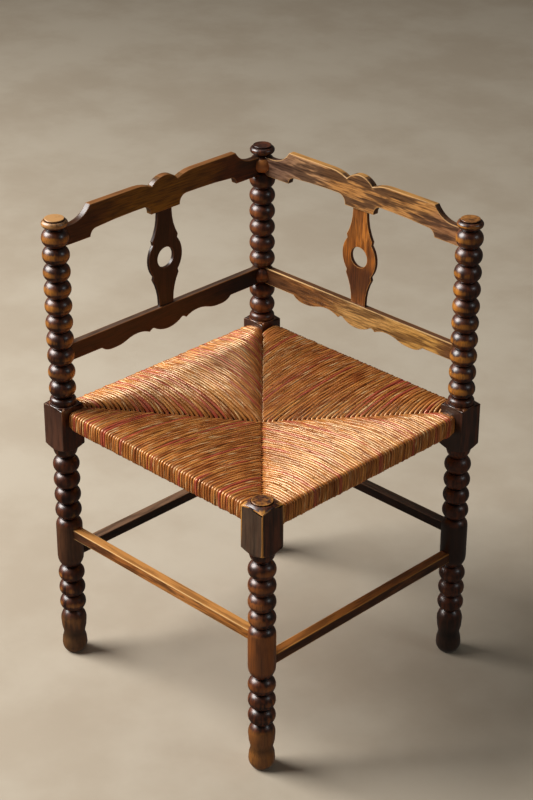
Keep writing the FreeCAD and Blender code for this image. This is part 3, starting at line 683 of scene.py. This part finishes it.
def mark_turning(post, inner):
    """Mark the rubbed bellies of the beads, the grooves, the arrises, the cap and the other lengths."""
    marks = []
    tall = max(vertex.co.z for vertex in post.data.vertices) / MM > CAP_WIDE
    disc, edge = (DISC_LOW, DISC) if tall else (BUTTON_LOW, BUTTON)
    for vertex in post.data.vertices:
        across, deep, height = (value / MM for value in vertex.co)
        radius = math.hypot(across, deep)
        up = vertex.normal.z
        on_block = BLOCK_LOW - 8 < height < BLOCK_TOP - 0.5 and radius > HALF_BLOCK - 1.5
        on_button = not tall and height > disc + 1.0
        in_groove = abs(height - disc) < 1.0 and 2 < radius < edge + 0.2
        belly = rise(up, -0.38, -0.05) * (1 - rise(up, 0.15, 0.65)) * rise(radius, 14.5, 18.0)
        groove = rise(15.6 - radius, 0.0, 2.8) * (radius > 3) * (3 < height < CAP_WIDE - 3)
        arris, flat = 0.0, 0.0
        if on_block:
            belly, groove = 0.0, 0.0
            arris, flat = block_marks(across, deep, height, vertex.index in inner)
        elif BLOCK_TOP - 3 < height < BACK_LOW:
            belly *= 0.2
        if not on_block and vertex.index in inner:
            arris = 0.95 * rise(facing(across, deep), 0.82, 0.98)
        elif on_button:
            groove = 0.0
            arris = 0.6 if radius > edge - 2 else 0.4
        if in_groove or abs(height - FOOT_HEIGHT) < 2.5:
            groove = 0.6
        cap = 0.0
        if height > CAP_WIDE - 3 and not in_groove:
            cap = 1.0 if height > DISC_LOW + 1 else 0.62
        plain = PLAIN_LOW + 12 < height < PLAIN_TOP - 10
        foot = 1.0 if height < FOOT_HEIGHT + 2 else 0.6 if height < VASE_TOP - 8 else 0.0
        marks.append((belly, groove, arris, cap, flat, plain, foot))
    for name, values in zip(("belly", "groove", "arris", "cap", "flat", "plain", "foot"), zip(*marks)):
        set_marks(post, name, values)


def shade_beads_turned_from_light(post, sx, sy):
    """Paint shade on the back's beads: keep most of their gold towards the seat and the key light, less
    on the side turned from it.
    """
    for vertex, mark in zip(post.data.vertices, post.data.attributes["belly"].data):
        across, deep, height = (value / MM for value in vertex.co)
        if height > BLOCK_TOP:
            mark.value *= 0.4 + 0.6 * rise(facing(across, deep, -sx, -sy), -0.75, 0.2)


def mark_crest_joint(post):
    """Rub the back post to gold where the two crests meet it, on the side that faces the seat."""
    for vertex, mark in zip(post.data.vertices, post.data.attributes["arris"].data):
        across, deep, height = (value / MM for value in vertex.co)
        if BACK_TOP - PITCH + 3 < height < BACK_TOP - 2:
            mark.value = max(mark.value, 2.0 * rise(facing(across, deep), 0.5, 0.8))


def thick_outline(name, points, thickness):
    """Draw a board's outline upright, fill it and thicken it."""
    thing = single_point(name, (points[0][0], -thickness / 2, points[0][1]))
    draw_on([(x, 0, z) for x, z in points])
    bpy.ops.mesh.select_all(action="SELECT")
    bpy.ops.mesh.edge_face_add()
    bpy.ops.mesh.extrude_region_move(TRANSFORM_OT_translate={"value": (0, thickness, 0)})
    face_outwards()
    return thing


def board(name, points, thickness):
    thing = thick_outline(name, points, thickness)
    ease_arrises(thing, 1.1)
    return thing


def unrounded_faces(mesh, ease):
    """The faces that aren't part of a rounded arris: the rounds are narrow or lean towards Y."""
    found = []
    for face in mesh.polygons:
        corners = [mesh.vertices[index].co for index in face.vertices]
        narrowest = min((a - b).length for a, b in zip(corners, corners[1:] + corners[:1]))
        lean = abs(face.normal.y)
        if lean > 0.98 or (lean < 0.02 and narrowest > ease * MM):
            found.append(face)
    return found


def ease_arrises(thing, ease):
    """Round every sharp edge, mark the rounds and a narrow fringe as rubbed, and mark the sawn edges.

    The top edge is rubbed too, but not where it slopes down to a shoulder or into a cove.
    """
    edit(thing, "EDGE")
    bpy.ops.mesh.select_all(action="DESELECT")
    bpy.ops.mesh.edges_select_sharp(sharpness=math.radians(40))
    bpy.ops.mesh.bevel(offset=ease * MM, segments=2, affect="EDGES", clamp_overlap=True)
    bpy.ops.object.mode_set(mode="OBJECT")
    inner = inset_faces(thing, unrounded_faces(thing.data, ease), ease)
    mesh = thing.data
    set_marks(thing, "arris", [0.0 if index in inner else 1.0 for index in range(len(mesh.vertices))])
    highest = max(vertex.co.z for vertex in mesh.vertices)
    upper, thickness = [], []
    for face in mesh.polygons:
        # flanks that slope along the board stay with the sawn edges: dark stain with painted shade
        level = 1 - rise(abs(face.normal.x), 0.2, 0.45)
        top = rise(face.center.z, highest - 20 * MM, highest - 10 * MM) * level
        upper.append(rise(face.normal.z, 0.5, 0.9) * top)
        sawn = 1 - rise(abs(face.normal.y), 0.4, 0.6)
        thickness.append(sawn * (1 - rise(face.normal.z, 0.4, 0.7) * top))
    set_marks(thing, "upper", upper, "FACE")
    set_marks(thing, "thickness", thickness, "FACE")


def whole(right_half, closing=()):
    """Close an outline, walked from the middle of its foot up its right side, with its mirror image."""
    left_half = []
    for index in reversed(range(len(right_half))):
        across, up = right_half[index][:2]
        arc = right_half[index - 1][2:] if index > 0 else closing
        left_half.append((-across, up) + tuple(arc))
    return right_half + left_half


HALF = AXIS / MM
CREST_LOW = BACK_TOP - PITCH - 3.4
LOW_TOP = BACK_LOW + 3 * PITCH + 1.2
LOW_LOW = LOW_TOP - 29.0
CREST_THICK = 11.5
LOW_THICK = 12.0
SPLAT_THICK = 6.0
BOARD_END = HALF - 10.5
LOBE = 31.0


def crest_points():
    """A crest's right half: half lobe, shallow arch, cove and end, then shoulder, dip and half dome."""
    lobe_cove = 14.2
    arch = 67.5
    arch_rise = 3.5
    cove = 12.5
    lug = HALF - 65.5
    cove_top = CREST_LOW + cove
    arch_top = cove_top + arch_rise
    end_top = CREST_LOW + 32.0
    sweep = 38.5
    sweep_rise = 21.6
    shoulder = end_top + sweep_rise
    dip = 62.0
    dip_drop = 7.6
    dome = 27.4
    return through(whole([
        (LOBE, CREST_LOW, -arc_radius(lobe_cove, arch_top - CREST_LOW)),
        (LOBE + lobe_cove, arch_top),
        (arch, arch_top, -arc_radius(lug - cove - arch, arch_rise)),
        (lug - cove, cove_top, -cove),
        (lug, CREST_LOW),
        (BOARD_END, CREST_LOW),
        (BOARD_END, end_top),
        (HALF - 28.0, end_top, -arc_radius(sweep, sweep_rise)),
        (HALF - 28.0 - sweep, shoulder),
        (dip, shoulder, arc_radius(dip - dome, dip_drop)),
        (dome, shoulder - dip_drop, 36.0),
    ]))


def lower_rail_points():
    """A lower rail's right half: half lobe, cusp, hollow, ogee, belly and straight end."""
    belly_drop = 8.5
    belly = LOW_LOW - belly_drop
    belly_in = 121.0
    belly_out = HALF - 79.5
    ogee_out = 112.0
    ogee_in = 66.5
    middle = (ogee_out + ogee_in) / 2
    hollow_rise = 8.6
    hollow = belly + hollow_rise
    ogee = arc_radius(ogee_out - middle, hollow_rise / 2)
    cusp_drop = 2.7
    cusp = 40.0
    tip = LOW_LOW - 6.8
    return through(whole([
        (LOBE, LOW_LOW - cusp_drop, -9.0),
        (cusp, tip, -arc_radius(ogee_in - cusp, hollow - tip)),
        (ogee_in, hollow, -ogee),
        (middle, belly + hollow_rise / 2, ogee),
        (ogee_out, belly),
        (belly_in, belly, arc_radius(belly_out - belly_in, belly_drop)),
        (belly_out, LOW_LOW),
        (BOARD_END, LOW_LOW),
        (BOARD_END, LOW_TOP),
    ], (arc_radius(LOBE, 10.1),)))


def splat_points():
    """A splat's outline with its necks run into the rails, and the height of its middle in metres."""
    middle = (LOW_TOP + CREST_LOW) / 2
    neck = (CREST_LOW - LOW_TOP) / 2 - 4.0
    neck_half = 15.0
    tip_half = 27.4
    tip = 33.5
    step_half = 25.8
    step = 27.5
    wide = 35.7
    cove = arc_radius(neck - tip, tip_half - neck_half)
    bulb = arc_radius(step, wide - step_half)
    return through(whole([
        (neck_half, LOW_TOP - 6),
        (neck_half, middle - neck, -cove),
        (tip_half, middle - tip),
        (step_half, middle - step, bulb),
        (wide, middle, bulb),
        (step_half, middle + step),
        (tip_half, middle + tip, -cove),
        (neck_half, middle + neck),
        (neck_half, CREST_LOW + 6),
    ])), middle * MM


def pierced_splat(name):
    """The splat with its round hole cut through and all its edges eased."""
    points, middle = splat_points()
    splat = thick_outline(name, points, SPLAT_THICK * MM)
    deselect()
    bpy.ops.mesh.primitive_cylinder_add(vertices=40, radius=17.5 * MM, depth=20 * MM,
                                        location=(0, 0, middle), rotation=(math.pi / 2, 0, 0))
    cut_with(splat, bpy.context.active_object, "DIFFERENCE")
    ease_arrises(splat, 0.8)
    return splat


STRETCHER = 16.5 * MM
STRETCHER_END = 13.0 * MM  # how far short of the posts' axes a bar stops, well inside their wood


def stretcher(name, height):
    deselect()
    bpy.ops.mesh.primitive_cube_add(size=1, location=(0, 0, height))
    bar = bpy.context.active_object
    bar.name = name
    bar.scale = (2 * (AXIS - STRETCHER_END), STRETCHER, STRETCHER)
    bpy.ops.object.transform_apply(location=True, rotation=True, scale=True)
    ease_arrises(bar, 1.0)
    return bar


# the rush seat, in millimetres
SEAT_TOP = BLOCK_LOW + 63.9
SEAT_CENTRE = SEAT_TOP - 27.0
UNDER_CENTRE = SEAT_CENTRE - 16.0
PROUD = 10.5
EDGE_ROUND = 7.0
CORDS = 73
CORD = 2.95
TWIST = 140.0
RING = 12
HUSKS = 60
HUSK = 0.42
HUSK_RING = 5
SEAM_RISE = {"left": 30.0, "front": 22.0, "right": 17.5, "back": 22.0}
WRAP = {"front_left": 32.0, "front_right": 40.0, "back_right": 32.0, "back_left": 37.0}
RAIL_DROP = {"front_left": 0.0, "front_right": 5.0, "back_right": 0.0, "back_left": 0.0}
HUMP = {"front_left": 1.0, "front_right": 5.5, "back_right": 1.0, "back_left": 9.0}
HUMP_LENGTH = 60.0
DIVE = {"front_left": 1.7, "front_right": 2.0, "back_right": 2.2, "back_left": 3.6}
ROOM = HALF - HALF_BLOCK


def into_chair(side):
    """The function that puts a point, given across, inward and up at a side's rail, into the chair."""
    turned = Matrix.Rotation(TURNS[side] * math.pi / 2, 3, "Z")
    return lambda across, inward, up: turned @ (Vector((across, inward - HALF, up)) * MM)


def seam_height(side, along):
    corner = ENDS[side][0 if along < 0 else 1]
    return SEAT_CENTRE + SEAM_RISE[corner] * abs(along) / HALF


def top_height(side, along, inward):
    """Height of the seat's upper face over one cord: a slight hump, then down into the seam."""
    end = HALF - abs(along)
    share = min(max(inward / end, 0.0), 1.0)

    def hump(place):
        return HUMP[side] * math.sin(math.pi / 2 * min(max(place, 0.0) / HUMP_LENGTH, 1.0))

    rail_top = SEAT_TOP - RAIL_DROP[side]
    fall = seam_height(side, along) - rail_top - hump(end)
    return rail_top + hump(inward) + fall * share ** DIVE[side]


def end_ease(along):
    """How much the roll over the rail draws in beside a block."""
    return 2.6 * rise(abs(along), ROOM - 13.0, ROOM + 4.0)


def under_height(side, inward):
    low = SEAT_TOP - WRAP[side]
    return low + (UNDER_CENTRE - low) * min(max(inward / HALF, 0.0), 1.0)


def cord_route(side, along):
    """Inward and height of one cord's middle: in under the seat, round the rail, over to the seam."""
    end = HALF - abs(along)
    drawn = end_ease(along)
    low = SEAT_TOP - WRAP[side] + drawn
    top = SEAT_TOP - RAIL_DROP[side] - drawn
    bend = EDGE_ROUND - CORD
    centre = EDGE_ROUND - PROUD + drawn
    under = under_height(side, end)
    route = [(end + 1.0, under + 8.0), (end - 2.0, under + 4.2)]
    steps = max(1, round((end - 8) / 7.0))

    def spread(first, last):
        return [first + (last - first) * number / steps for number in range(steps + 1)]

    def turn(angles, middle):
        return [(centre - bend * math.cos(angle), middle + bend * math.sin(angle))
                for angle in map(math.radians, angles)]

    for inward in spread(end - 7.0, 2.0):
        route.append((inward, under_height(side, inward) + CORD))
    route += turn((-90, -68, -45, -22, 0), low + EDGE_ROUND)
    route.append((centre - bend - 0.3, (low + top) / 2))
    route += turn((0, 22, 45, 68, 90), top - EDGE_ROUND)
    for inward in spread(5.0, end - 5.0):
        eased = drawn * (1 - min(inward / 40.0, 1.0))
        route.append((inward, top_height(side, along, inward) - CORD - eased))
    last = top_height(side, along, end) - CORD
    route += [(end - 2.4, last - 1.2), (end - 0.6, last - 3.6), (end + 0.4, last - 8.0)]
    return route


class Cords:
    """Collects tubes for one mesh, each with its own tint and a map that follows its twist."""

    def __init__(self, place):
        self.place = place
        self.points = []
        self.faces = []
        self.maps = []
        self.tints = []
        self.painted_shades = []

    def add(self, route, ring, size, tint, across_at, out_shift=0.0, tucked=False):
        """Lay a tube along (inward, up) points. Its underside and its tucked ends get painted shade."""
        run = 0.0
        runs = []
        base = len(self.points)
        last = len(route) - 1
        # painted shade where the cord's ends are tucked into the seam
        ends = {0: 1.0, 1: 0.75, last - 1: 0.75, last: 1.0} if tucked else {}
        for index, (inward, up) in enumerate(route):
            before = route[max(index - 1, 0)]
            after = route[min(index + 1, last)]
            slope = Vector((after[0] - before[0], after[1] - before[1])).normalized()
            if index:
                run += math.dist(route[index - 1], route[index])
            runs.append(run)
            for corner in range(ring):
                angle = math.tau * corner / ring
                lobe = size(run, angle)
                out = -math.cos(angle) * lobe + out_shift
                self.points.append(self.place(across_at(run) + math.sin(angle) * lobe,
                                              inward - slope.y * out, up + slope.x * out))
                # painted shade on the side of the cord that faces into the seat, where neighbouring cords
                # touch
                hidden = rise(math.cos(angle), -0.75, 0.15) * 0.85
                self.painted_shades.append(max(ends.get(index, 0.0), hidden))
            self.tints += [tint] * ring
        for index in range(last):
            first = base + index * ring
            for corner in range(ring):
                following = (corner + 1) % ring
                self.faces.append((first + corner, first + ring + corner,
                                   first + ring + following, first + following))
                for step, where in ((corner, runs[index]), (corner, runs[index + 1]),
                                    (corner + 1, runs[index + 1]), (corner + 1, runs[index])):
                    self.maps.append((step / ring + where / TWIST, where * MM * 10))

    def mesh(self, name):
        mesh = bpy.data.meshes.new(name)
        mesh.from_pydata(self.points, [], self.faces)
        layer = mesh.uv_layers.new(name="cord")
        layer.data.foreach_set("uv", np.array(self.maps, np.float32).ravel())
        thing = added(name, mesh)
        set_marks(thing, "cord_tint", self.tints)
        set_marks(thing, "inner", self.painted_shades)
        return thing


def rush_field(side):
    """All the cords of one side, and the short broken husks that stand up from them."""
    draw = random.Random(side)
    cords = Cords(into_chair(side))
    pitch = 2 * ROOM / CORDS
    for number in range(CORDS):
        along = -ROOM + pitch * (number + 0.5)
        radius = CORD * draw.uniform(0.92, 1.08)
        phase = draw.uniform(0, math.tau)
        sway = draw.uniform(-0.35, 0.35)

        def size(run, angle):
            swell = 0.04 * math.sin(run / 9.0 + phase) + 0.03 * math.sin(run / 4.1 + 3 * phase)
            lobes = 0.06 * math.cos(3 * (angle + math.tau * run / TWIST) + phase)
            return radius * (1 + swell + lobes)

        def across_at(run):
            wander = 0.4 * math.sin(run / 23.0 + phase) + 0.2 * math.sin(run / 11.0 + 2 * phase)
            return along + sway + wander

        tint = draw.random()
        shift = draw.uniform(-0.45, 0.45)
        cords.add(cord_route(side, along), RING, size, tint, across_at, shift, tucked=True)
    for _ in range(HUSKS):
        along = draw.uniform(-0.85, 0.85) * ROOM
        end = HALF - abs(along)
        inward = draw.uniform(8.0, end - 6.0) if end > 16 else 8.0
        level = top_height(side, along, inward) - 0.5
        length = draw.uniform(4.0, 14.0)
        drift = draw.uniform(-0.8, 0.8)
        lift = draw.uniform(0.3, 1.6) * 1.5
        route = [(inward + length * share, level + lift * share * share) for share in (0, 0.35, 0.7, 1.0)]

        def thin(run, angle):
            return HUSK * (1.1 - 0.8 * run / (length + 1.0))

        cords.add(route, HUSK_RING, thin, draw.random(), lambda run: along + drift * run)
    return cords.mesh("rush_cords_" + side)


def stuffing_pad(side):
    """The pad of loose rush between the layers, a little inside the cords all round."""
    inside = 5.0
    place = into_chair(side)
    deselect()
    bpy.ops.mesh.primitive_grid_add(x_subdivisions=24, y_subdivisions=8, size=2, location=(0, 0, 0))
    thing = bpy.context.active_object
    thing.name = "stuffing_pad_" + side
    bpy.ops.object.mode_set(mode="EDIT")
    bpy.ops.mesh.extrude_region_move(TRANSFORM_OT_translate={"value": (0, 0, 1)})
    face_outwards()
    bpy.ops.object.mode_set(mode="OBJECT")
    for vertex in thing.data.vertices:
        along = vertex.co.x * (ROOM - 2)
        start = 7.5 - PROUD
        end = HALF - abs(along) - 1.0
        inward = start + (end - start) * (vertex.co.y + 1) / 2
        if vertex.co.z > 0.5:
            up = top_height(side, along, inward) - inside
        else:
            up = under_height(side, inward) + inside
        vertex.co = place(along, inward, up)
    return thing


def make_posts():
    for corner, (sx, sy) in CORNERS.items():
        post = turned_post("turned_post_" + corner, corner != "front")
        if corner == "back":
            mark_crest_joint(post)
        # the right post gets painted shade on its beads, on the side turned from the key light
        elif corner == "right":
            shade_beads_turned_from_light(post, sx, sy)
        post.data.transform(Matrix.Translation((sx * AXIS, sy * AXIS, 0)))
        finish_piece(post, POST_WOODS[corner], "turned_wood", "post_" + corner)


def make_bars():
    """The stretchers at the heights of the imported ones, and the hidden rails' wood."""
    heights = []
    for side in ("front_left", "front_right"):
        low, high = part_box("stretcher_" + side)
        heights.append((low.z + high.z) / 2)
    for side, turns in TURNS.items():
        bar = stretcher("square_stretcher_" + side, heights[turns % 2])
        turn_to(bar, side)
        wood = ("back_" if "back" in side else "") + "stretcher_" + "xy"[turns % 2]
        finish_piece(bar, BOARD_WOODS[wood], "stretcher_wood", "stretcher_" + side)
        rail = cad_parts["seat_rail_" + side]
        rail.data.materials.clear()
        rail.data.materials.append(SEAT_RAIL_WOOD)


def make_backs():
    for side, hand in (("back_right", "right"), ("back_left", "left")):
        crest = board("crest_board_" + hand, crest_points(), CREST_THICK * MM)
        lower = board("lower_board_" + hand, lower_rail_points(), LOW_THICK * MM)
        splat = pierced_splat("pierced_splat_" + hand)
        for thing, wood, slot, rail in ((crest, "crest_", "crest_wood", "crest_rail_"),
                                        (lower, "lower_", "crest_wood", "lower_back_rail_"),
                                        (splat, "splat_", "splat_wood", "splat_")):
            turn_to(thing, side)
            finish_piece(thing, BOARD_WOODS[wood + hand], slot, rail + hand)


def make_seat():
    for side in TURNS:
        finish_piece(rush_field(side), RUSH, "rush", "rush_" + side, angle=60)
        finish_piece(stuffing_pad(side), STUFFING, "loose_rush", "stuffing_" + side)


def make_studio():
    """Pale floor, a large soft light on the left, a weak small one on the right and one overhead."""
    deselect()
    bpy.ops.mesh.primitive_plane_add(size=40, location=(0, 0, 0))
    floor = bpy.context.active_object
    floor.name = "pale_floor"
    floor.data.materials.append(FLOOR)
    floor.visible_glossy = False
    for name, place, aim, size, power, colour in (
        ("window_light", (-2.42, -1.79, 2.9), (0, 0, 0.4), 2.4, 250.0, (1.0, 0.98, 0.95)),
        ("side_light", (2.9, 1.1, 2.6), (0, 0, 0.5), 0.6, 8.5, (0.88, 0.96, 1.0)),
        ("ceiling_light", (-0.9, 0.4, 3.4), (0, 0, 0.3), 2.4, 8.0, (1.0, 0.98, 0.95)),
    ):
        light = bpy.data.lights.new(name, "AREA")
        light.shape = "SQUARE"
        light.size = size
        light.energy = power
        light.color = colour
        lamp = added(name, light)
        lamp.location = place
        lamp.rotation_euler = (Vector(aim) - Vector(place)).to_track_quat("-Z", "Y").to_euler()
    world = bpy.data.worlds.new("studio_air")
    bpy.context.scene.world = world
    world.use_nodes = True
    background = world.node_tree.nodes["Background"]
    feed(world.node_tree, background, {"Color": "#e8dccc", "Strength": 0.065})
    bpy.context.scene.view_settings.view_transform = "Standard"


def make_camera():
    """The photograph's view: from the front corner, above the seat, with a long lens."""
    yaw, pitch, roll = (math.radians(angle) for angle in (0.219, 27.764, 0.176))
    focal = 2017.4
    picture_height = 800
    place = Vector((1.9850, -1.9905, 1.9520))
    forward = Vector((math.sin(yaw) * math.cos(pitch), math.cos(yaw) * math.cos(pitch), -math.sin(pitch)))
    right = Vector((math.cos(yaw), -math.sin(yaw), 0))
    up = right.cross(forward)
    turn, lean = math.cos(roll), math.sin(roll)
    right, up = turn * right + lean * up, turn * up - lean * right
    quarter = Matrix.Rotation(math.pi / 4, 3, "Z")
    right, up, forward = (quarter @ axis for axis in (right, up, forward))
    camera = bpy.data.cameras.new("camera")
    camera.sensor_width = 36.0
    camera.lens = focal / picture_height * camera.sensor_width
    thing = added("camera", camera)
    turned = Matrix((right, up, -forward)).transposed().to_4x4()
    thing.matrix_world = Matrix.Translation(place) @ turned
    bpy.context.scene.camera = thing


make_camera()
make_posts()
make_bars()
make_backs()
make_seat()
make_studio()
